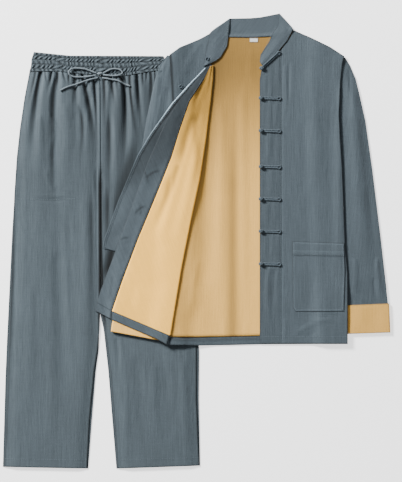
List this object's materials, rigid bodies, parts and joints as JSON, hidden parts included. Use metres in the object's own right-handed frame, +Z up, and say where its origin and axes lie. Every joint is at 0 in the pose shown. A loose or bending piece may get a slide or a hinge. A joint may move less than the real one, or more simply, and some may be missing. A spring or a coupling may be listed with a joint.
{
  "type": "tai chi uniform",
  "caption": "Tai chi uniform laid flat: grey-blue drawstring trousers under a lined, stand-collar frog-button jacket whose right front is turned back to show the tan lining.",
  "frame": {"origin": "centre of the laid-out set on the floor plane", "axes": "x runs to the right of the laid-out set, y from the hems up to the collar, z up from the floor through the cloth; the set lies on its back"},
  "size_m": [0.9481, 1.1148, 0.0212],
  "materials": {
    "trouser_cloth": "dull slubby woven cotton, grey-blue",
    "jacket_cloth": "dull slubby woven cotton, darker grey-blue",
    "lining_cloth": "soft plain woven cotton, tan",
    "label_cloth": "plain white woven label",
    "drawstring_cord": "round braided cotton cord, grey-blue",
    "frog_cloth": "stitched cloth cord, grey-blue"
  },
  "bodies": {
    "root": {"drawstring_knot": "drawstring_cord", "drawstring_left_end": "drawstring_cord", "drawstring_left_loop": "drawstring_cord", "drawstring_right_end": "drawstring_cord", "drawstring_right_loop": "drawstring_cord", "frog_knot_1": "frog_cloth", "frog_knot_2": "frog_cloth", "frog_knot_3": "frog_cloth", "frog_knot_4": "frog_cloth", "frog_knot_5": "frog_cloth", "frog_knot_6": "frog_cloth", "frog_knot_7": "frog_cloth", "frog_loop_1": "frog_cloth", "frog_loop_2": "frog_cloth", "frog_strap_1": "frog_cloth", "frog_strap_2": "frog_cloth", "frog_strap_3": "frog_cloth", "frog_strap_4": "frog_cloth", "frog_strap_5": "frog_cloth", "frog_strap_6": "frog_cloth", "frog_strap_7": "frog_cloth", "jacket_back": "jacket_cloth", "jacket_back_hem_facing": "jacket_cloth", "jacket_back_lining": "lining_cloth", "jacket_collar": "jacket_cloth", "jacket_left_cuff": "lining_cloth", "jacket_left_front": "jacket_cloth", "jacket_left_sleeve": "jacket_cloth", "jacket_neck_label": "label_cloth", "jacket_placket_strip": "jacket_cloth", "jacket_pocket": "jacket_cloth", "jacket_right_cuff": "lining_cloth", "jacket_right_facing": "jacket_cloth", "jacket_right_front": "jacket_cloth", "jacket_right_hem_facing": "jacket_cloth", "jacket_right_lining": "lining_cloth", "jacket_right_sleeve": "jacket_cloth", "trouser_left_leg_back": "trouser_cloth", "trouser_left_leg_front": "trouser_cloth", "trouser_right_leg_back": "trouser_cloth", "trouser_right_leg_front": "trouser_cloth", "trouser_waist_back": "trouser_cloth", "trouser_waist_front": "trouser_cloth"}
  },
  "joints": []
}
